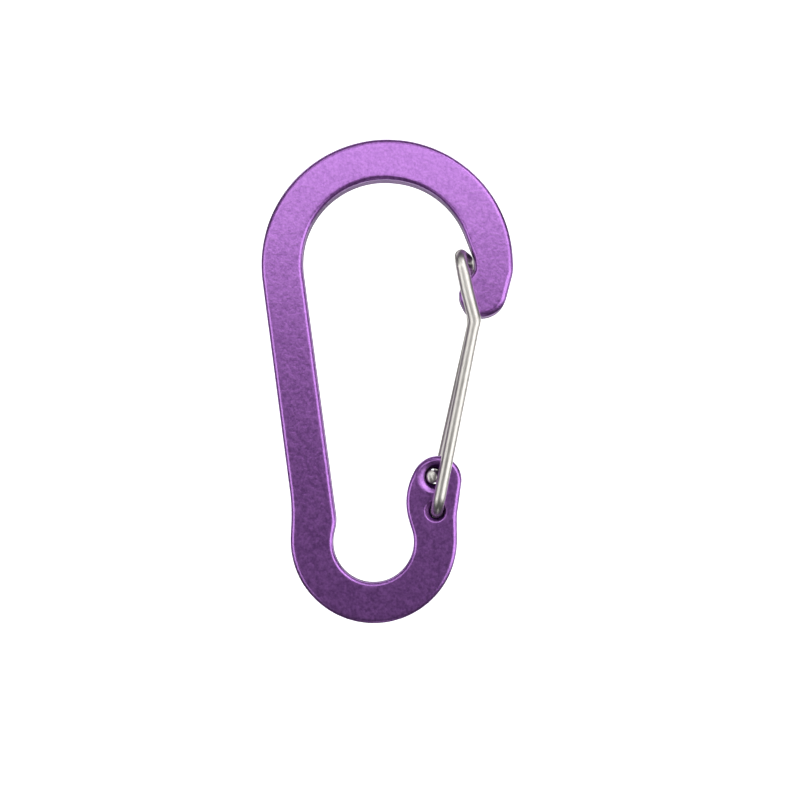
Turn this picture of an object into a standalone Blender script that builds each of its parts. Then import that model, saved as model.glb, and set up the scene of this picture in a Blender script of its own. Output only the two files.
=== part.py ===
"""Small flat carabiner with a bent-wire gate.

The carabiner hangs from the top of its wide basket.  The plate lies in the XZ
plane, +Z up and the front face towards -Y, and the origin is the innermost
point of the wide basket, halfway through the plate.

The body is one flat plate whose outline runs like a belt over circles.  The
gate is one bent spring wire: its front leg turns in the lower hole and its
rear leg in the upper hole, so the wire twists at its crown as it opens.  The
wire is modelled as two halves that meet at the crown, which stands for that
twist.
"""
import math

import bmesh
import bpy
from mathutils import Matrix, Vector

MM = 0.001

# ---------------------------------------------------------------- dimensions
PLATE_THICKNESS = 4.0
EDGE_BEVEL = 0.50
ARC_STEP = 0.6                 # longest chord along the plate's round edges

COUNTER, CLOCK = 1, -1

# The plate's outline, anticlockwise from its lowest arc: centre x, centre z,
# radius, and the way the outline turns round that circle.
OUTLINE_CIRCLES = [
    (-1.13, -37.17, 8.59, COUNTER),    # narrow end, outside
    (14.20, -35.10, 6.75, CLOCK),      # shallow hollow under the gate's eye
    (5.45, -31.00, 2.48, COUNTER),     # eye, right shoulder
    (5.75, -31.50, 3.06, COUNTER),     # eye, top
    (8.70, -33.30, 6.50, COUNTER),     # eye, left side
    (-1.18, -37.40, 4.15, CLOCK),      # narrow basket, inside
    (-9.10, -35.10, 4.08, COUNTER),    # step between spine and narrow basket
    (0.00, -8.50, 8.50, CLOCK),        # wide basket, inside left
    (0.22, -8.65, 8.63, CLOCK),        # wide basket, inside right
    (8.30, -8.22, 0.98, CLOCK),        # latch notch, top
    (8.46, -9.15, 0.88, CLOCK),        # latch notch, bottom
    (8.90, -11.70, 1.20, COUNTER),     # hook of the nose
    (9.70, -11.95, 2.00, COUNTER),     # nose, inner side
    (9.60, -12.55, 1.65, COUNTER),     # nose, lower corner
    (10.05, -11.62, 2.60, COUNTER),    # nose, tip
    (9.20, -8.95, 4.10, COUNTER),      # nose, outer side
    (0.25, -8.80, 13.02, COUNTER),     # wide end, outside
    (-29.00, -34.65, 19.36, CLOCK),    # step outside the spine
]

FRONT_PIVOT = (5.33, -34.28)   # x, z of the lower hole, for the front leg
REAR_PIVOT = (5.32, -30.70)    # x, z of the upper hole, for the rear leg
FRONT_HOLE_RADIUS = 0.85
REAR_HOLE_RADIUS = 1.30
ENTRY_CHAMFER = 0.42           # on the side where the leg goes in
EXIT_DISH = 0.52               # on the side where the wire's end shows
HOLE_SIDES = 32

WIRE_RADIUS = 0.635
WIRE_PLANE = 2.85              # how far each leg's centre line is off the plate's middle
CROWN_BEND = 1.30
KINK_BEND = 3.00
FOOT_BEND = 1.60
HALF_GAP = 0.15                # half the cut between the wire's two halves
FOOT_REACH = 1.35              # how far past the plate's middle each foot goes

FRONT_CROWN = (7.72, -7.77)    # x, z of the front leg's upper corner
REAR_CROWN = (8.73, -8.25)
FRONT_KINK = (9.21, -14.64)
REAR_KINK = (9.24, -14.64)
REAR_HEEL = (5.67, -30.56)     # where the rear leg turns into its hole
REAR_FOOT_END = (4.88, -30.55)


# ------------------------------------------------------------------- helpers
def clear_scene():
    for thing in list(bpy.data.objects):
        bpy.data.objects.remove(thing, do_unlink=True)


def new_collection(name):
    collection = bpy.data.collections.new(name)
    bpy.context.scene.collection.children.link(collection)
    return collection


def material(name, colour, roughness, metallic):
    made = bpy.data.materials.new(name)
    made.use_nodes = True
    shader = made.node_tree.nodes["Principled BSDF"]
    shader.inputs["Base Color"].default_value = (*colour, 1.0)
    shader.inputs["Roughness"].default_value = roughness
    shader.inputs["Metallic"].default_value = metallic
    return made


def tangent_heading(first, second):
    """Direction of travel along the line that leaves one circle and joins the next."""
    x0, z0, r0, turn0 = first
    x1, z1, r1, turn1 = second
    spacing = math.hypot(x1 - x0, z1 - z0)
    return math.atan2(z1 - z0, x1 - x0) + math.asin((r0 * turn0 - r1 * turn1) / spacing)


def belt_outline(circles, step):
    """Closed outline of arcs and their common tangents, as (x, z) points."""
    count = len(circles)
    headings = [tangent_heading(circles[i], circles[(i + 1) % count]) for i in range(count)]
    points = []
    for i, (x, z, radius, turn) in enumerate(circles):
        start = headings[i - 1]
        sweep = ((headings[i] - start) * turn) % (2 * math.pi)
        pieces = max(1, math.ceil(sweep * radius / step))
        for j in range(pieces + 1):
            heading = start + turn * sweep * j / pieces
            points.append((x + turn * radius * math.sin(heading),
                           z - turn * radius * math.cos(heading)))
    return points


def rounded_path(corners, step_angle=math.radians(15)):
    """Points along a 3-D path whose inner corners are arcs: [(point, bend radius), ...]."""
    points = [Vector(corners[0][0])]
    for i in range(1, len(corners) - 1):
        corner, radius = Vector(corners[i][0]), corners[i][1]
        back = (Vector(corners[i - 1][0]) - corner).normalized()
        ahead = (Vector(corners[i + 1][0]) - corner).normalized()
        turn = math.pi - back.angle(ahead)
        middle = corner + (back + ahead).normalized() * radius / math.cos(turn / 2)
        start = corner + back * radius * math.tan(turn / 2)
        axis = back.cross(ahead).normalized()
        pieces = max(2, math.ceil(turn / step_angle))
        for j in range(pieces + 1):
            swing = Matrix.Rotation(-turn * j / pieces, 3, axis)
            points.append(middle + swing @ (start - middle))
    points.append(Vector(corners[-1][0]))
    return points


def mesh_from_curve(curve_object, collection):
    """Turn a curve object into a closed mesh object of the same name and place."""
    depsgraph = bpy.context.evaluated_depsgraph_get()
    mesh = bpy.data.meshes.new_from_object(curve_object.evaluated_get(depsgraph))
    shape = bmesh.new()
    shape.from_mesh(mesh)
    bmesh.ops.remove_doubles(shape, verts=shape.verts, dist=0.000001)
    bmesh.ops.recalc_face_normals(shape, faces=shape.faces)
    shape.to_mesh(mesh)
    shape.free()
    name = curve_object.name
    place = curve_object.matrix_world.copy()
    bpy.data.objects.remove(curve_object, do_unlink=True)
    solid = bpy.data.objects.new(name, mesh)
    solid.matrix_world = place
    collection.objects.link(solid)
    return solid


# --------------------------------------------------------------------- plate
def hole_cutter(name, pivot, radius, front_depth, back_depth, collection):
    """Turned cutter along Y: a bore with a 45 degree countersink at each face."""
    face = PLATE_THICKNESS / 2
    over = 0.5     # how far the cutter stands out of each face
    profile = [
        (0.0, face + over),
        (radius + back_depth + over, face + over),
        (radius, face - back_depth),
        (radius, front_depth - face),
        (radius + front_depth + over, -face - over),
        (0.0, -face - over),
    ]
    mesh = bpy.data.meshes.new(name)
    points = [(r * MM, y * MM, 0.0) for r, y in profile]
    mesh.from_pydata(points, [(i, i + 1) for i in range(len(points) - 1)], [])
    cutter = bpy.data.objects.new(name, mesh)
    collection.objects.link(cutter)
    x, z = pivot
    cutter.location = (x * MM, 0.0, z * MM)
    cutter.hide_render = True
    cutter.display_type = "WIRE"
    turned = cutter.modifiers.new("turned", "SCREW")
    turned.axis = "Y"
    turned.steps = HOLE_SIDES
    turned.render_steps = HOLE_SIDES
    turned.use_merge_vertices = True
    turned.merge_threshold = 0.000001
    return cutter


def make_plate(parts, cutters, finish):
    curve = bpy.data.curves.new("plate_outline", "CURVE")
    curve.dimensions = "2D"
    curve.fill_mode = "BOTH"
    curve.extrude = PLATE_THICKNESS / 2 * MM
    curve.render_resolution_u = 0
    outline = belt_outline(OUTLINE_CIRCLES, ARC_STEP)
    spline = curve.splines.new("POLY")
    spline.points.add(len(outline) - 1)
    for point, (x, z) in zip(spline.points, outline):
        point.co = (x * MM, z * MM, 0.0, 1.0)
    spline.use_cyclic_u = True
    flat = bpy.data.objects.new("plate_body", curve)
    flat.rotation_euler = (math.pi / 2, 0, 0)
    parts.objects.link(flat)
    bpy.context.view_layer.update()
    plate = mesh_from_curve(flat, parts)

    bevel = plate.modifiers.new("rounded_edges", "BEVEL")
    bevel.width = EDGE_BEVEL * MM
    bevel.segments = 3
    bevel.limit_method = "ANGLE"
    bevel.angle_limit = math.radians(60)
    holes = [
        hole_cutter("front_pivot_hole", FRONT_PIVOT, FRONT_HOLE_RADIUS,
                    ENTRY_CHAMFER, EXIT_DISH, cutters),
        hole_cutter("rear_pivot_hole", REAR_PIVOT, REAR_HOLE_RADIUS,
                    EXIT_DISH, ENTRY_CHAMFER, cutters),
    ]
    for cutter in holes:
        cut = plate.modifiers.new(cutter.name, "BOOLEAN")
        cut.operation = "DIFFERENCE"
        cut.object = cutter
        cut.solver = "EXACT"
    plate.data.materials.append(finish)
    return plate


# ---------------------------------------------------------------------- gate
def make_wire(name, corners, pivot, parts, finish):
    """One half of the gate, its origin on the axis (along Y) that it turns on."""
    x, z = pivot
    pivot_point = Vector((x, 0.0, z))
    curve = bpy.data.curves.new(name + "_path", "CURVE")
    curve.dimensions = "3D"
    curve.bevel_depth = WIRE_RADIUS * MM
    curve.bevel_resolution = 2
    curve.use_fill_caps = True
    curve.render_resolution_u = 0
    path = rounded_path(corners)
    spline = curve.splines.new("POLY")
    spline.points.add(len(path) - 1)
    for point, place in zip(spline.points, path):
        point.co = (*((place - pivot_point) * MM), 1.0)
    wire = bpy.data.objects.new(name, curve)
    wire.location = pivot_point * MM
    parts.objects.link(wire)
    bpy.context.view_layer.update()
    solid = mesh_from_curve(wire, parts)
    solid.data.materials.append(finish)
    solid.data.shade_smooth()
    solid.data.set_sharp_from_angle(angle=math.radians(50))
    return solid


def crown_point(y):
    """Point of the crown bar, which runs from the front corner to the rear one, at depth y."""
    share = (y + WIRE_PLANE) / (2 * WIRE_PLANE)
    (x0, z0), (x1, z1) = FRONT_CROWN, REAR_CROWN
    return (x0 + (x1 - x0) * share, y, z0 + (z1 - z0) * share)


def make_gate(parts, finish):
    crown_x, _, crown_z = crown_point(0.0)
    front_x, front_z = FRONT_PIVOT
    front = [
        (crown_point(-HALF_GAP), 0.0),
        ((FRONT_CROWN[0], -WIRE_PLANE, FRONT_CROWN[1]), CROWN_BEND),
        ((FRONT_KINK[0], -WIRE_PLANE, FRONT_KINK[1]), KINK_BEND),
        ((front_x, -WIRE_PLANE, front_z), FOOT_BEND),
        ((front_x, FOOT_REACH, front_z), 0.0),
    ]
    rear = [
        (crown_point(HALF_GAP), 0.0),
        ((REAR_CROWN[0], WIRE_PLANE, REAR_CROWN[1]), CROWN_BEND),
        ((REAR_KINK[0], WIRE_PLANE, REAR_KINK[1]), KINK_BEND),
        ((REAR_HEEL[0], WIRE_PLANE, REAR_HEEL[1]), FOOT_BEND),
        ((REAR_FOOT_END[0], -FOOT_REACH, REAR_FOOT_END[1]), 0.0),
    ]
    make_wire("gate_wire_front", front, FRONT_PIVOT, parts, finish)
    make_wire("gate_wire_rear", rear, (crown_x, crown_z), parts, finish)


def main():
    clear_scene()
    parts = new_collection("wire_gate_carabiner")
    cutters = new_collection("cutters")
    anodised = material("anodised_aluminium", (0.30, 0.11, 0.45), 0.42, 0.9)
    steel = material("spring_steel", (0.62, 0.60, 0.57), 0.25, 1.0)
    make_plate(parts, cutters, anodised)
    make_gate(parts, steel)


main()
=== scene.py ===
import math

import bmesh
import bpy
import numpy as np
from mathutils import Matrix, Vector, geometry, noise


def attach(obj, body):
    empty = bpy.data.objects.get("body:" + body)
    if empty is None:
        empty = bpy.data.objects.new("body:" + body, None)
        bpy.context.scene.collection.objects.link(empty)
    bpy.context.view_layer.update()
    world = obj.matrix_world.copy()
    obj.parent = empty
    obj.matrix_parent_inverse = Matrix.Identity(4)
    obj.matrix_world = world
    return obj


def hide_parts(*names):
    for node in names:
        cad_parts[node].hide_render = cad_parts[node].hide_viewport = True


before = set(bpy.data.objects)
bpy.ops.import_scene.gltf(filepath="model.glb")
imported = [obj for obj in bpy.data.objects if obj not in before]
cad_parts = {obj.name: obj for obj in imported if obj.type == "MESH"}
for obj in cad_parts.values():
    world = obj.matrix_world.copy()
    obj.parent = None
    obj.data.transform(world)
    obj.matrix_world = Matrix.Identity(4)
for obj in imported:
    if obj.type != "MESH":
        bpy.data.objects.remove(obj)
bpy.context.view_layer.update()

MM = 0.001
COUNTER, CLOCK = 1, -1

# ---------------------------------------------------------------- dimensions
# Millimetres in the part's frame.  The origin is the innermost point of the
# wide basket, halfway through the plate, whose front face is towards -Y.
FACE = 2.0                      # each face's distance from the plate's middle
EDGE_STEPS = 9
WALL_STEPS = 8
OUTLINE_STEP = 0.20
FACE_GRID = 0.24

# Centre x, centre z, radius, the way the outline turns round the circle, and the
# radius of the plate's rolled edge there.
OUTLINE_CIRCLES = [
    (-1.13, -37.17, 8.59, COUNTER, 0.48),    # narrow end, outside
    (14.20, -35.10, 6.75, CLOCK, 0.54),      # shallow hollow under the gate's eye
    (5.45, -31.00, 2.48, COUNTER, 0.50),     # eye, right shoulder
    (5.75, -31.50, 3.06, COUNTER, 0.42),     # eye, top
    (8.70, -33.30, 6.50, COUNTER, 0.40),     # eye, left side
    (-1.18, -37.40, 4.15, CLOCK, 0.42),      # narrow basket, inside
    (-9.10, -35.10, 4.08, COUNTER, 0.52),    # step between spine and narrow basket
    (0.00, -8.50, 8.50, CLOCK, 0.48),        # wide basket, inside left
    (0.22, -8.65, 8.63, CLOCK, 0.40),        # wide basket, inside right
    (8.27, -8.22, 0.97, CLOCK, 0.36),        # latch notch, top
    (8.45, -9.13, 0.87, CLOCK, 0.36),        # latch notch, bottom
    (8.90, -11.70, 1.20, COUNTER, 0.36),     # hook of the nose
    (9.70, -11.95, 2.00, COUNTER, 0.40),     # nose, inner side
    (9.60, -12.55, 1.65, COUNTER, 0.46),     # nose, lower corner
    (10.05, -11.62, 2.60, COUNTER, 0.66),    # nose, tip
    (9.20, -8.95, 4.10, COUNTER, 0.70),      # nose, outer side
    (0.25, -8.80, 13.02, COUNTER, 0.52),     # wide end, outside
    (-29.00, -34.65, 19.36, CLOCK, 0.48),    # step outside the spine
]

# Each pivot hole as rings of depth below the face, centre x, centre z, radius,
# from the rounded lip inwards.  A leg goes in through the small countersink and
# its cut end shows in the dish on the other face.
LOWER_COUNTERSINK = [
    (0.000, 5.235, -34.180, 1.240),
    (0.008, 5.235, -34.180, 1.180),
    (0.030, 5.235, -34.180, 1.120),
    (0.070, 5.235, -34.180, 1.070),
    (0.120, 5.245, -34.190, 1.020),
    (0.190, 5.270, -34.215, 0.960),
    (0.300, 5.310, -34.240, 0.880),
    (0.380, 5.345, -34.270, 0.825),
    (0.430, 5.350, -34.272, 0.795),
    (0.500, 5.350, -34.272, 0.780),
    (0.950, 5.350, -34.275, 0.780),
    (1.050, 5.340, -34.280, 0.760),
    (1.100, 5.335, -34.280, 0.720),
    (1.130, 5.330, -34.280, 0.665),
    (1.300, 5.330, -34.280, 0.642),
    (1.700, 5.330, -34.280, 0.633),
]
UPPER_DISH = [
    (0.000, 4.980, -30.670, 1.770),
    (0.003, 4.985, -30.668, 1.710),
    (0.012, 5.000, -30.664, 1.640),
    (0.030, 5.030, -30.660, 1.560),
    (0.058, 5.080, -30.660, 1.480),
    (0.094, 5.150, -30.660, 1.405),
    (0.138, 5.230, -30.660, 1.335),
    (0.186, 5.310, -30.660, 1.280),
    (0.240, 5.350, -30.660, 1.258),
    (0.310, 5.360, -30.660, 1.250),
    (0.400, 5.360, -30.660, 1.246),
    (0.820, 5.360, -30.660, 1.242),
    (1.200, 5.350, -30.660, 1.230),
    (1.450, 5.300, -30.640, 1.080),
    (1.700, 5.230, -30.615, 0.890),
    (1.900, 5.110, -30.620, 0.800),
    (2.020, 5.110, -30.620, 0.775),
    (2.300, 5.160, -30.590, 0.800),
]
UPPER_DISH_BORE_END = 13        # rings of the upper dish down to the end of its bore
LOWER_COUNTERSINK_BORE = 10     # rings of the lower countersink down to its bore
LOWER_DISH = [(depth, x - 0.05, z - 3.62, radius * 0.8)
              for depth, x, z, radius in UPPER_DISH[:UPPER_DISH_BORE_END]]
LOWER_DISH += [(1.290, 5.330, -34.280, 0.900), (1.330, 5.330, -34.280, 0.642)]
UPPER_COUNTERSINK = [(depth, x + 0.12, z + 3.72, radius * 1.18)
                     for depth, x, z, radius in LOWER_COUNTERSINK[:LOWER_COUNTERSINK_BORE]]
UPPER_COUNTERSINK += [(1.050, 5.400, -30.555, 0.850)]
HOLE_SIDES = 96
ROLL_SMOOTHING = 60             # passes that even out the roll where circles join
FINE_SWELL, FINE_SWELL_SCALE = 0.006, 1.3       # the faces are slightly uneven
WIDE_SWELL, WIDE_SWELL_SCALE = 0.008, 0.35

WIRE_RADIUS = 0.635
WIRE_PLANE = 2.85               # how far each leg's centre line is off the middle
CROWN_BEND = 1.30
LEG_BOW = 25.0
KINK_BEND = 2.00
FOOT_BEND = 1.60
PRESSED_TOP = -8.6              # the legs are pressed slightly wide from here
PRESSED_FOOT = -15.4            # down to here, just below the kink
PRESSED_TOP_FADE = 1.5
PRESSED_FOOT_FADE = 1.0
PRESSED_SPREAD = 0.10           # share that the wire widens across
PRESSED_SHIFT = 0.04
END_RINGS = 9                   # the cut end: a blunt dome with a groove across it
END_RISE = 0.34
END_BURR = 0.26                 # share that the dome bulges along Z, halfway up
GROOVE_DEPTH = 0.09
GROOVE_WIDTH = 0.16
END_BUMPS, END_BUMPS_SCALE = 0.03, 2.2
WIRE_SIDES = 40
WIRE_STEP = 0.16

FRONT_CROWN = (7.67, -7.77)
REAR_CROWN = (8.71, -8.00)
FRONT_BOW = (8.43, -11.50)      # the front leg's faint bend above its kink
FRONT_KINK = (9.23, -14.62)
REAR_KINK = (9.24, -14.64)
FRONT_FOOT = (5.33, -34.28)
REAR_HEEL = (5.67, -30.56)
REAR_FOOT_END = (4.83, -30.68)
FOOT_REACH = 1.35


# --------------------------------------------------------------- node helpers
class Nodes:
    """Short calls for building a material's node tree."""

    def __init__(self, tree):
        self.tree = tree
        tree.nodes.clear()

    def add(self, kind, settings=None, **inputs):
        node = self.tree.nodes.new(kind)
        for key, value in (settings or {}).items():
            setattr(node, key, value)
        for key, value in inputs.items():
            socket = node.inputs[key.replace("_", " ")]
            self.feed(socket, value)
        return node

    def feed(self, socket, value):
        if isinstance(value, bpy.types.NodeSocket):
            self.tree.links.new(value, socket)
        else:
            socket.default_value = value

    def math(self, operation, first, second=0.0):
        node = self.tree.nodes.new("ShaderNodeMath")
        node.operation = operation
        self.feed(node.inputs[0], first)
        self.feed(node.inputs[1], second)
        return node.outputs[0]

    def ramp(self, factor, stops):
        """Map factor through grey stops [(position, value), ...]."""
        node = self.tree.nodes.new("ShaderNodeValToRGB")
        elements = node.color_ramp.elements
        while len(elements) > 1:
            elements.remove(elements[-1])
        elements[0].position = stops[0][0]
        elements[0].color = (*[stops[0][1]] * 3, 1)
        for position, value in stops[1:]:
            elements.new(position).color = (*[value] * 3, 1)
        self.feed(node.inputs["Fac"], factor)
        return node.outputs["Color"]

    def noise(self, vector, scale, detail=2.0, roughness=0.5):
        node = self.add("ShaderNodeTexNoise", None, Vector=vector, Scale=scale,
                        Detail=detail, Roughness=roughness)
        return node.outputs["Fac"]

    def bump(self, height, distance, strength=1.0, normal=None):
        node = self.add("ShaderNodeBump", None, Height=height, Distance=distance,
                        Strength=strength)
        if normal is not None:
            self.feed(node.inputs["Normal"], normal)
        return node.outputs["Normal"]

    def mix_colour(self, factor, first, second, blend="MIX"):
        node = self.tree.nodes.new("ShaderNodeMix")
        node.data_type = "RGBA"
        node.blend_type = blend
        self.feed(node.inputs["Factor"], factor)
        self.feed(node.inputs["A"], first)
        self.feed(node.inputs["B"], second)
        return node.outputs["Result"]


def new_material(name):
    made = bpy.data.materials.new(name)
    made.use_nodes = True
    return made, Nodes(made.node_tree)


# ------------------------------------------------------------------ materials
def anodised_material():
    """Bead-blasted aluminium, dyed purple: fine grain and mottling."""
    made, n = new_material("anodised_purple")
    place = n.add("ShaderNodeTexCoord").outputs["Object"]
    speck = n.noise(place, 4200.0, 1.0, 0.5)
    grain = n.noise(place, 2100.0, 2.0, 0.55)
    mottle = n.noise(place, 900.0, 3.0, 0.6)
    cloud = n.noise(place, 160.0, 2.0, 0.5)

    tone = n.math("ADD", n.math("MULTIPLY", mottle, 0.10), n.math("MULTIPLY", cloud, 0.06))
    tone = n.math("ADD", tone, n.math("MULTIPLY", grain, 0.44))
    tone = n.math("ADD", tone, n.math("MULTIPLY", speck, 0.40))
    colour = n.mix_colour(n.ramp(tone, [(0.36, 0.0), (0.64, 1.0)]),
                          (0.308, 0.098, 0.454, 1), (0.466, 0.171, 0.640, 1))
    shine = n.math("ADD", 0.27, n.math("MULTIPLY", grain, 0.14))
    relief = n.bump(mottle, 0.000006, 1.0)
    relief = n.bump(grain, 0.000010, 1.0, relief)
    relief = n.bump(speck, 0.000008, 1.0, relief)
    surface = n.add("ShaderNodeBsdfPrincipled", None, Base_Color=colour, Metallic=0.92,
                    Roughness=shine, Normal=relief)
    surface.inputs["Coat Weight"].default_value = 0.75
    surface.inputs["Coat Roughness"].default_value = 0.26
    surface.inputs["Coat IOR"].default_value = 1.7
    out = n.add("ShaderNodeOutputMaterial")
    n.feed(out.inputs["Surface"], surface.outputs["BSDF"])
    return made


def steel_material():
    """Drawn spring steel: lines along the wire and a soft, uneven polish."""
    made, n = new_material("drawn_steel")
    route = n.add("ShaderNodeUVMap", {"uv_map": "along_wire"}).outputs["UV"]
    stretched = n.add("ShaderNodeMapping", None, Vector=route, Scale=(0.35, 14.0, 1.0)).outputs[0]
    lines = n.noise(stretched, 3.0, 3.0, 0.6)
    place = n.add("ShaderNodeTexCoord").outputs["Object"]
    patches = n.noise(place, 700.0, 2.0, 0.5)
    colour = n.mix_colour(patches, (0.56, 0.535, 0.50, 1), (0.70, 0.68, 0.645, 1))
    shine = n.math("ADD", 0.30, n.math("MULTIPLY", patches, 0.14))
    relief = n.bump(lines, 0.000010, 0.6)
    surface = n.add("ShaderNodeBsdfPrincipled", None, Base_Color=colour, Metallic=1.0,
                    Roughness=shine, Normal=relief)
    out = n.add("ShaderNodeOutputMaterial")
    n.feed(out.inputs["Surface"], surface.outputs["BSDF"])
    return made


# ---------------------------------------------------------------------- plate
def tangent_heading(first, second):
    """Direction of travel along the line that leaves one circle and joins the next."""
    x0, z0, r0, turn0, _ = first
    x1, z1, r1, turn1, _ = second
    spacing = math.hypot(x1 - x0, z1 - z0)
    return math.atan2(z1 - z0, x1 - x0) + math.asin((r0 * turn0 - r1 * turn1) / spacing)


def belt_outline(circles, step):
    """Evenly stepped outline as rows of x, z, the inward normal's x, z, and the roll."""
    count = len(circles)
    headings = [tangent_heading(circles[i], circles[(i + 1) % count]) for i in range(count)]
    rows = []

    def add(x, z, heading, roll):
        if not rows or math.hypot(x - rows[-1][0], z - rows[-1][1]) > 0.25 * step:
            rows.append((x, z, -math.sin(heading), math.cos(heading), roll))

    for i, (x, z, radius, turn, roll) in enumerate(circles):
        start = headings[i - 1]
        sweep = ((headings[i] - start) * turn) % (2 * math.pi)
        pieces = max(1, math.ceil(sweep * radius / step))
        for j in range(pieces + 1):
            heading = start + turn * sweep * j / pieces
            add(x + turn * radius * math.sin(heading), z - turn * radius * math.cos(heading),
                heading, roll)
        nx, nz, n_radius, n_turn, n_roll = circles[(i + 1) % count]
        heading = headings[i]
        leave = (x + turn * radius * math.sin(heading), z - turn * radius * math.cos(heading))
        join = (nx + n_turn * n_radius * math.sin(heading), nz - n_turn * n_radius * math.cos(heading))
        length = math.hypot(join[0] - leave[0], join[1] - leave[1])
        pieces = max(1, math.ceil(length / step))
        for j in range(1, pieces):
            share = j / pieces
            add(leave[0] + (join[0] - leave[0]) * share, leave[1] + (join[1] - leave[1]) * share,
                heading, roll + (n_roll - roll) * share)
    if math.hypot(rows[0][0] - rows[-1][0], rows[0][1] - rows[-1][1]) < 0.25 * step:
        rows.pop()
    rows = np.array(rows)
    for _ in range(ROLL_SMOOTHING):
        rows[:, 4] = (np.roll(rows[:, 4], 1) + 2 * rows[:, 4] + np.roll(rows[:, 4], -1)) / 4
    return rows


def inside(points, loop):
    """Which points lie inside a closed loop, by counting crossings."""
    x, z = points[:, 0][:, None], points[:, 1][:, None]
    x0, z0 = loop[:, 0][None], loop[:, 1][None]
    x1, z1 = np.roll(loop[:, 0], -1)[None], np.roll(loop[:, 1], -1)[None]
    spans = (z0 > z) != (z1 > z)
    safe = np.where(z1 == z0, 1.0, z1 - z0)
    crossing = x0 + (z - z0) * (x1 - x0) / safe
    return (np.sum(spans & (x < crossing), axis=1) % 2) == 1


def clear_of(points, others, distance):
    """Which points keep at least this distance from all the others."""
    keep = np.ones(len(points), bool)
    for chunk in range(0, len(others), 64):
        part = others[chunk:chunk + 64]
        gap = np.hypot(points[:, 0][:, None] - part[:, 0], points[:, 1][:, None] - part[:, 1])
        keep &= gap.min(axis=1) > distance
    return keep


def ring(shape, x, z, radius, y):
    made = []
    for i in range(HOLE_SIDES):
        angle = 2 * math.pi * i / HOLE_SIDES
        made.append(shape.verts.new((x + radius * math.cos(angle), y, z + radius * math.sin(angle))))
    return made


def bridge(shape, first, second):
    """Quads between two closed loops of the same length."""
    count = len(first)
    for i in range(count):
        j = (i + 1) % count
        shape.faces.new((first[i], first[j], second[j], second[i]))


def fill_face(shape, boundary, holes, y):
    """Evenly triangulated flat face between the outer loop and the hole loops."""
    loops = [boundary] + holes
    fixed, edges = [], []
    for loop in loops:
        start = len(fixed)
        fixed += [(v.co.x, v.co.z) for v in loop]
        edges += [(start + i, start + (i + 1) % len(loop)) for i in range(len(loop))]
    fixed = np.array(fixed)
    outer = fixed[:len(boundary)]
    low, high = outer.min(axis=0), outer.max(axis=0)
    row_height = FACE_GRID * math.sqrt(3) / 2
    seeds = []
    for row in range(int((high[1] - low[1]) / row_height) + 1):
        shift = FACE_GRID / 2 * (row % 2)
        for column in range(int((high[0] - low[0]) / FACE_GRID) + 1):
            seeds.append((low[0] + shift + column * FACE_GRID, low[1] + row * row_height))
    seeds = np.array(seeds)
    seeds = seeds[inside(seeds, outer)]
    seeds = seeds[clear_of(seeds, fixed, 0.6 * FACE_GRID)]
    start = len(boundary)
    for hole in holes:
        rim = fixed[start:start + len(hole)]
        seeds = seeds[~inside(seeds, rim)]
        start += len(hole)
    points = [Vector(p) for p in np.vstack([fixed, seeds])]
    made, _, triangles, _, _, _ = geometry.delaunay_2d_cdt(points, edges, [], 0, 1e-6)
    middles = np.array([[sum(made[i][k] for i in t) / 3 for k in (0, 1)] for t in triangles])
    keep = inside(middles, outer)
    start = len(boundary)
    for hole in holes:
        keep &= ~inside(middles, fixed[start:start + len(hole)])
        start += len(hole)
    known = [v for loop in loops for v in loop]
    verts = known + [shape.verts.new((p[0], y, p[1])) for p in made[len(known):]]
    for triangle, wanted in zip(triangles, keep):
        if wanted:
            shape.faces.new([verts[i] for i in triangle])


def plate_mesh():
    shape = bmesh.new()
    rows = belt_outline(OUTLINE_CIRCLES, OUTLINE_STEP)
    levels = []                              # share of the roll still to go, and height
    for k in range(EDGE_STEPS + 1):
        turn = math.pi / 2 * k / EDGE_STEPS
        levels.append((1 - math.sin(turn), 1 - math.cos(turn), -1.0))
    for k in range(1, WALL_STEPS):
        levels.append((0.0, 1.0, 2 * k / WALL_STEPS - 1))
    levels += [(inset, rise, 1.0) for inset, rise, _ in reversed(levels[:EDGE_STEPS + 1])]
    loops = []
    for inset, rise, side in levels:
        loops.append([shape.verts.new((x + nx * inset * roll, side * (FACE - rise * roll),
                                       z + nz * inset * roll)) for x, z, nx, nz, roll in rows])
    for first, second in zip(loops, loops[1:]):
        bridge(shape, first, second)
    front_rims, back_rims = [], []
    for front, back in ((LOWER_COUNTERSINK, LOWER_DISH), (UPPER_DISH, UPPER_COUNTERSINK)):
        rings = [ring(shape, x, z, radius, depth - FACE) for depth, x, z, radius in front]
        rings += [ring(shape, x, z, radius, FACE - depth) for depth, x, z, radius in reversed(back)]
        for first, second in zip(rings, rings[1:]):
            bridge(shape, first, second)
        front_rims.append(rings[0])
        back_rims.append(rings[-1])
    fill_face(shape, loops[0], front_rims, -FACE)
    fill_face(shape, loops[-1], back_rims, FACE)
    bmesh.ops.recalc_face_normals(shape, faces=shape.faces)
    shape.normal_update()
    for vert in shape.verts:
        swell = noise.noise(vert.co * FINE_SWELL_SCALE) * FINE_SWELL
        swell += noise.noise(vert.co * WIDE_SWELL_SCALE) * WIDE_SWELL
        vert.co += vert.normal * (swell - WIDE_SWELL)
    for vert in shape.verts:
        vert.co *= MM
    mesh = bpy.data.meshes.new("hook_plate")
    shape.to_mesh(mesh)
    shape.free()
    mesh.shade_smooth()
    return mesh


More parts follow.
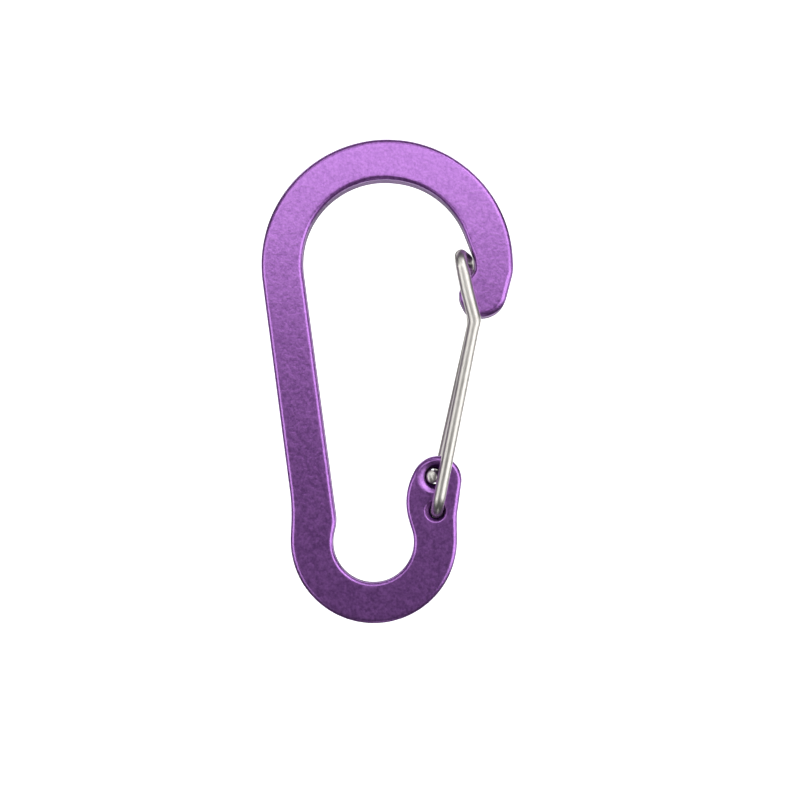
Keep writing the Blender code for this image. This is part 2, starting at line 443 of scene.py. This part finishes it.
# ----------------------------------------------------------------------- wire
def rounded_path(corners, step):
    """Evenly stepped points along a path whose inner corners are arcs."""
    points = [Vector(corners[0][0])]

    def run_to(end):
        start = points[-1].copy()
        pieces = max(1, round((end - start).length / step))
        points.extend(start.lerp(end, j / pieces) for j in range(1, pieces + 1))

    for i in range(1, len(corners) - 1):
        corner, radius = Vector(corners[i][0]), corners[i][1]
        back = (Vector(corners[i - 1][0]) - corner).normalized()
        ahead = (Vector(corners[i + 1][0]) - corner).normalized()
        turn = math.pi - back.angle(ahead)
        middle = corner + (back + ahead).normalized() * radius / math.cos(turn / 2)
        start = corner + back * radius * math.tan(turn / 2)
        run_to(start)
        axis = back.cross(ahead).normalized()
        pieces = max(2, math.ceil(turn * radius / step))
        for j in range(1, pieces + 1):
            swing = Matrix.Rotation(-turn * j / pieces, 3, axis)
            points.append(middle + swing @ (start - middle))
    run_to(Vector(corners[-1][0]))
    return points


def crown_point(y):
    """Point of the crown bar, which runs from the front corner to the rear one, at depth y."""
    share = (y + WIRE_PLANE) / (2 * WIRE_PLANE)
    (x0, z0), (x1, z1) = FRONT_CROWN, REAR_CROWN
    return (x0 + (x1 - x0) * share, y, z0 + (z1 - z0) * share)


def wire_mesh(name, corners):
    """Round wire along rounded corners: a flat cut at the crown and a sheared end at the foot."""
    path = rounded_path(corners, WIRE_STEP)
    shape = bmesh.new()
    uv_rows = []
    across = Vector((1, 0, 0))
    along = 0.0
    rings = []
    for i, point in enumerate(path):
        ahead = path[min(i + 1, len(path) - 1)] - path[max(i - 1, 0)]
        ahead.normalize()
        across = (across - ahead * across.dot(ahead)).normalized()
        up = ahead.cross(across)
        if i:
            along += (point - path[i - 1]).length
        made = []
        for k in range(WIRE_SIDES):
            angle = 2 * math.pi * k / WIRE_SIDES
            out = across * math.cos(angle) + up * math.sin(angle)
            place = point + out * WIRE_RADIUS
            if i == 0:            # the cut lies in the plane y = 0
                place -= ahead * (place.y / ahead.y)
            pressed = max(0.0, min(1.0, (PRESSED_TOP - point.z) / PRESSED_TOP_FADE,
                                   (point.z - PRESSED_FOOT) / PRESSED_FOOT_FADE))
            place.x += out.x * PRESSED_SPREAD * pressed * WIRE_RADIUS + PRESSED_SHIFT * pressed
            made.append(shape.verts.new(place))
        rings.append(made)
        uv_rows.append(along)
    for first, second in zip(rings, rings[1:]):
        bridge(shape, first, second)
    ahead = (path[-1] - path[-2]).normalized()
    tip = path[-1]
    last = rings[-1]
    across_groove = (across * 0.8 + up * 0.6).normalized()
    for k in range(1, END_RINGS):
        share = math.cos(math.pi / 2 * k / END_RINGS)
        rise = END_RISE * math.sin(math.pi / 2 * k / END_RINGS)
        burr = 1 + END_BURR * math.sin(math.pi * k / END_RINGS)
        made = []
        for base in rings[-1]:
            out = base.co - tip
            offset = out.dot(across_groove) * share
            groove = GROOVE_DEPTH * math.exp(-(offset / GROOVE_WIDTH) ** 2) * (1 - share)
            bumps = END_BUMPS * noise.noise((tip + out * share) * END_BUMPS_SCALE) * (1 - share)
            spread = Vector((out.x, out.y, out.z * burr)) * share
            made.append(shape.verts.new(tip + spread + ahead * (rise - groove + bumps)))
        bridge(shape, last, made)
        last = made
        uv_rows.append(along + rise)
    shape.faces.new(last)
    shape.faces.new(list(reversed(rings[0])))
    bmesh.ops.recalc_face_normals(shape, faces=shape.faces)
    layer = shape.loops.layers.uv.new("along_wire")
    shape.verts.index_update()
    total_rings = len(uv_rows)
    for face in shape.faces:
        sides = [loop.vert.index % WIRE_SIDES for loop in face.loops]
        wraps = max(sides) - min(sides) > WIRE_SIDES / 2
        for loop, side in zip(face.loops, sides):
            level = min(loop.vert.index // WIRE_SIDES, total_rings - 1)
            if wraps and side < WIRE_SIDES / 2:
                side += WIRE_SIDES
            loop[layer].uv = (uv_rows[level], side / WIRE_SIDES)
    for vert in shape.verts:
        vert.co *= MM
    mesh = bpy.data.meshes.new(name)
    shape.to_mesh(mesh)
    shape.free()
    mesh.shade_smooth()
    mesh.set_sharp_from_angle(angle=math.radians(60))
    return mesh


def make_piece(name, mesh, finish, body, node):
    piece = bpy.data.objects.new(name, mesh)
    bpy.context.scene.collection.objects.link(piece)
    mesh.materials.append(finish)
    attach(piece, body)
    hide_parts(node)
    return piece


# ---------------------------------------------------------------------- stage
def make_floor():
    """Pale floor that curves up into an evenly white surround."""
    floor_level, flat_radius, rim_radius, rim_height = -0.13, 0.75, 1.0, 1.1
    shape = bmesh.new()
    profile = [(0.0, floor_level)]
    profile += [(flat_radius * k / 4, floor_level) for k in (1, 2, 3, 4)]
    cove = rim_radius - flat_radius
    for k in range(1, 9):
        turn = math.pi / 2 * k / 8
        profile.append((flat_radius + cove * math.sin(turn), floor_level + cove * (1 - math.cos(turn))))
    profile.append((rim_radius, floor_level + rim_height))
    sides = 64
    centre = shape.verts.new((0, 0, floor_level))
    rings = []
    for radius, z in profile[1:]:
        rings.append([shape.verts.new((radius * math.cos(2 * math.pi * k / sides),
                                       radius * math.sin(2 * math.pi * k / sides), z))
                      for k in range(sides)])
    for k in range(sides):
        shape.faces.new((centre, rings[0][k], rings[0][(k + 1) % sides]))
    for first, second in zip(rings, rings[1:]):
        bridge(shape, first, second)
    mesh = bpy.data.meshes.new("pale_floor")
    shape.to_mesh(mesh)
    shape.free()
    mesh.shade_smooth()
    floor = bpy.data.objects.new("pale_floor", mesh)
    bpy.context.scene.collection.objects.link(floor)
    made, n = new_material("white_sweep")
    surface = n.add("ShaderNodeBsdfPrincipled", None, Roughness=0.9)
    surface.inputs["Base Color"].default_value = (0.9, 0.9, 0.9, 1)
    surface.inputs["Emission Color"].default_value = (1, 1, 1, 1)
    surface.inputs["Emission Strength"].default_value = 1.1
    out = n.add("ShaderNodeOutputMaterial")
    n.feed(out.inputs["Surface"], surface.outputs["BSDF"])
    mesh.materials.append(made)
    floor.visible_diffuse = False
    floor.visible_glossy = False
    floor.visible_shadow = False


def softbox(name, azimuth, elevation, distance, width, height, brightness, target=(0, 0, -0.021)):
    """Area light that faces the object; azimuth 0 is the camera's side, 90 is +X."""
    a, e = math.radians(azimuth), math.radians(elevation)
    away = Vector((math.sin(a) * math.cos(e), -math.cos(a) * math.cos(e), math.sin(e)))
    data = bpy.data.lights.new(name, "AREA")
    data.shape = "RECTANGLE"
    data.size, data.size_y = width, height
    data.energy = math.pi * width * height * brightness
    lamp = bpy.data.objects.new(name, data)
    lamp.location = Vector(target) + away * distance
    lamp.rotation_euler = away.to_track_quat("Z", "Y").to_euler()
    lamp.visible_camera = False
    bpy.context.scene.collection.objects.link(lamp)
    return lamp


def make_lights():
    softbox("strip_front", 0, 13, 0.123, 0.16, 0.048, 1.96, (0, 0, 0))
    softbox("strip_above", 0, 45, 0.085, 0.16, 0.030, 1.10, (0, 0, 0))
    softbox("box_right", 50, -7, 1.0, 0.72, 0.50, 2.3)
    softbox("box_far_right", 80, -9, 1.0, 0.35, 0.44, 2.4)
    softbox("box_upper_right", 42, 28, 1.0, 0.66, 0.66, 2.1)
    softbox("box_left", -50, 0, 1.0, 0.72, 0.54, 1.9)
    softbox("box_lower_left", -42, -24, 1.0, 0.50, 0.40, 0.7)
    softbox("box_back_left", -135, 0, 1.0, 0.55, 0.54, 1.3)
    softbox("box_back_right", 135, 0, 1.0, 0.55, 0.54, 1.4)
    softbox("box_back", 180, 8, 1.0, 1.00, 0.50, 0.22)
    softbox("box_low_back", 180, -32, 1.0, 1.20, 0.40, 1.7)
    softbox("box_top_back", 180, 50, 1.0, 1.90, 0.42, 1.6)
    softbox("box_below", 20, -80, 1.0, 0.34, 0.20, 1.2, (0.005, -0.003, -0.034))
    world = bpy.data.worlds.new("studio")
    bpy.context.scene.world = world
    world.use_nodes = True
    background = world.node_tree.nodes["Background"]
    background.inputs["Color"].default_value = (0.95, 0.97, 1.0, 1)
    background.inputs["Strength"].default_value = 0.06


CAMERA_PLACE = (1.568, -291.1, -33.08)
CAMERA_TILT = 2.04              # degrees above level
FOCAL_IN_WIDTHS = 2810.0 / 800.0


def make_camera():
    """Level with the narrow basket, looking slightly up, far enough to flatten the view."""
    data = bpy.data.cameras.new("camera")
    data.sensor_width = 36.0
    data.lens = FOCAL_IN_WIDTHS * data.sensor_width
    data.clip_start = 0.01
    data.clip_end = 10.0
    camera = bpy.data.objects.new("camera", data)
    camera.location = Vector(CAMERA_PLACE) * MM
    camera.rotation_euler = (math.radians(90 + CAMERA_TILT), 0, 0)
    bpy.context.scene.collection.objects.link(camera)
    bpy.context.scene.camera = camera


# ----------------------------------------------------------------------- main
make_camera()
make_floor()
make_lights()

purple = anodised_material()
steel = steel_material()
make_piece("hook_plate", plate_mesh(), purple, "hook", "plate_body")
front_corners = [
    (crown_point(0.0), 0.0),
    ((FRONT_CROWN[0], -WIRE_PLANE, FRONT_CROWN[1]), CROWN_BEND),
    ((FRONT_BOW[0], -WIRE_PLANE, FRONT_BOW[1]), LEG_BOW),
    ((FRONT_KINK[0], -WIRE_PLANE, FRONT_KINK[1]), KINK_BEND),
    ((FRONT_FOOT[0], -WIRE_PLANE, FRONT_FOOT[1]), FOOT_BEND),
    ((FRONT_FOOT[0], FOOT_REACH, FRONT_FOOT[1]), 0.0),
]
rear_corners = [
    (crown_point(0.0), 0.0),
    ((REAR_CROWN[0], WIRE_PLANE, REAR_CROWN[1]), CROWN_BEND),
    ((REAR_KINK[0], WIRE_PLANE, REAR_KINK[1]), KINK_BEND),
    ((REAR_HEEL[0], WIRE_PLANE, REAR_HEEL[1]), FOOT_BEND),
    ((REAR_FOOT_END[0], -FOOT_REACH, REAR_FOOT_END[1]), 0.0),
]
make_piece("gate_front_half", wire_mesh("gate_front_half", front_corners), steel,
           "gate_front_leg", "gate_wire_front")
make_piece("gate_rear_half", wire_mesh("gate_rear_half", rear_corners), steel,
           "gate_rear_leg", "gate_wire_rear")

bpy.context.scene.view_settings.view_transform = "Standard"
